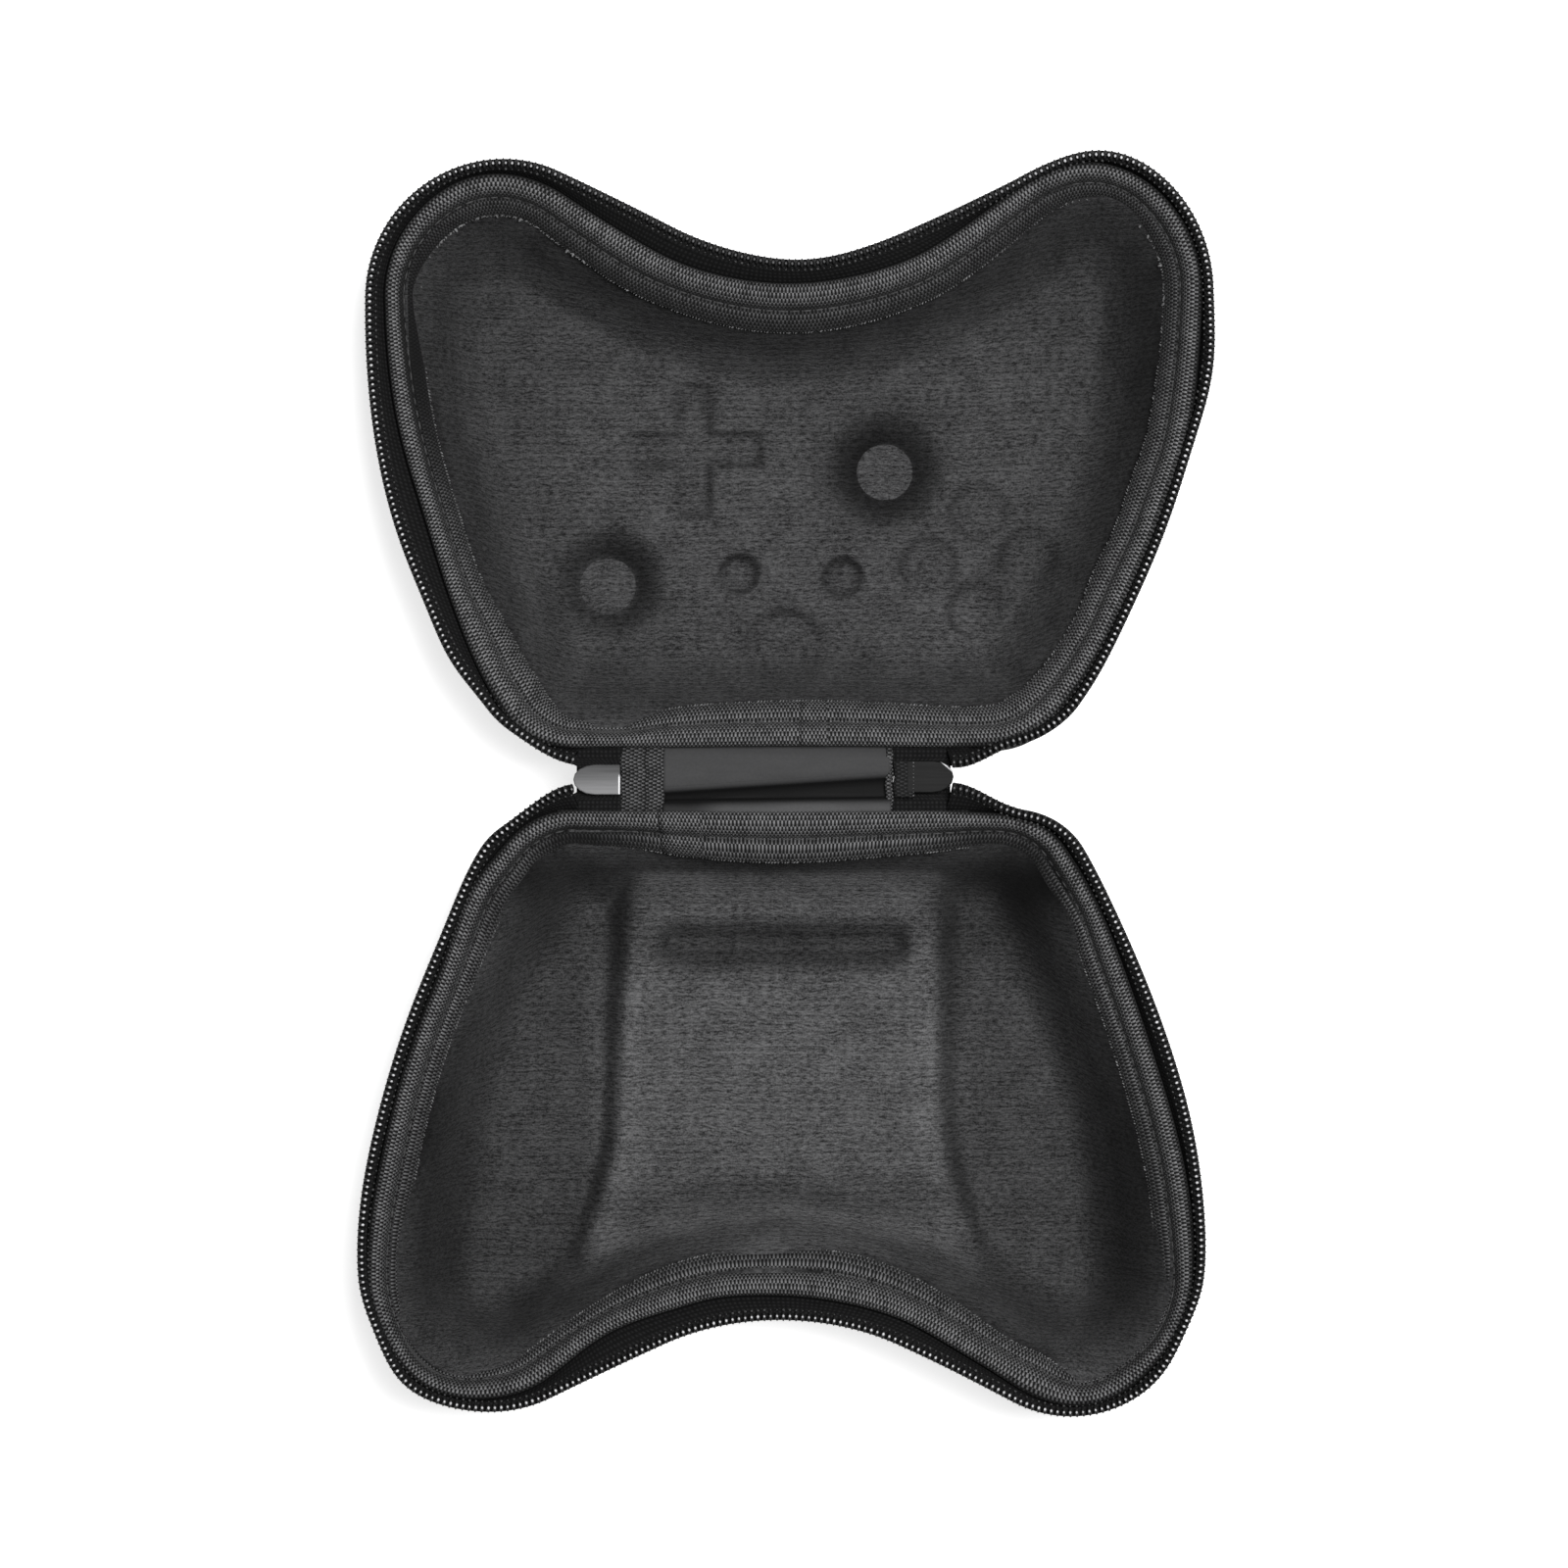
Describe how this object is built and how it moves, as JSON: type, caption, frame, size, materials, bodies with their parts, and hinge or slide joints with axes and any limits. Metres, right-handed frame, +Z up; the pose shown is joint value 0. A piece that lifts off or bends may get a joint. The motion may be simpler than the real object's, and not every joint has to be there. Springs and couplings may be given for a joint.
{
  "type": "controller carrying case",
  "caption": "Moulded zip case in the outline of a game controller, lying open: lid with stick pits, base with two grip wells, woven hinge strip.",
  "frame": {"origin": "under the middle of the hinge line, on the surface that the open case lies on", "axes": "+X across the case, +Y from the base half to the lid half, +Z up out of the two open halves"},
  "size_m": [0.1746, 0.258, 0.0369],
  "materials": {
    "shell_cover": "matt woven nylon over moulded foam",
    "lining": "brushed knit with fine cross ribs",
    "binding": "woven tape with stitching",
    "zip_tape": "fine woven zip tape",
    "zip_coil": "glossy nylon coil",
    "strip_fabric": "smooth coated fabric with a slight sheen",
    "slider_metal": "black gloss enamel"
  },
  "bodies": {
    "base": {"base_shell": "shell_cover", "base_lining": "lining", "base_binding": "binding", "base_zip_tape": "zip_tape", "base_zip_coil": "zip_coil"},
    "spine": {"hinge_strip": "strip_fabric", "strip_end_left": "binding", "strip_end_right": "binding", "slider_left": "slider_metal", "slider_right": "slider_metal", "chain_end_left": "zip_coil", "chain_end_right": "zip_coil"},
    "lid": {"lid_shell": "shell_cover", "lid_lining": "lining", "lid_binding": "binding", "lid_zip_tape": "zip_tape", "lid_zip_coil": "zip_coil"},
    "pull_tab_left": {"pull_left": "slider_metal"},
    "pull_tab_right": {"pull_right": "slider_metal"}
  },
  "joints": [
    {"name": "base_fold", "type": "hinge", "parent": "base", "child": "spine", "pos_m": [0, -0.006, 0.031], "axis": [1, 0, 0], "range_deg": [0, 90]},
    {"name": "lid_fold", "type": "hinge", "parent": "spine", "child": "lid", "pos_m": [0, 0.006, 0.031], "axis": [1, 0, 0], "range_deg": [0, 90]},
    {"name": "pull_swing_left", "type": "hinge", "parent": "spine", "child": "pull_tab_left", "pos_m": [-0.03905, 0, 0.0269], "axis": [0, 1, 0], "range_deg": [-85, 85]},
    {"name": "pull_swing_right", "type": "hinge", "parent": "spine", "child": "pull_tab_right", "pos_m": [0.02975, 0, 0.0269], "axis": [0, 1, 0], "range_deg": [-85, 85]}
  ],
  "couplings": [
    {"joint": "lid_fold", "follows": "base_fold", "ratio": 1}
  ]
}
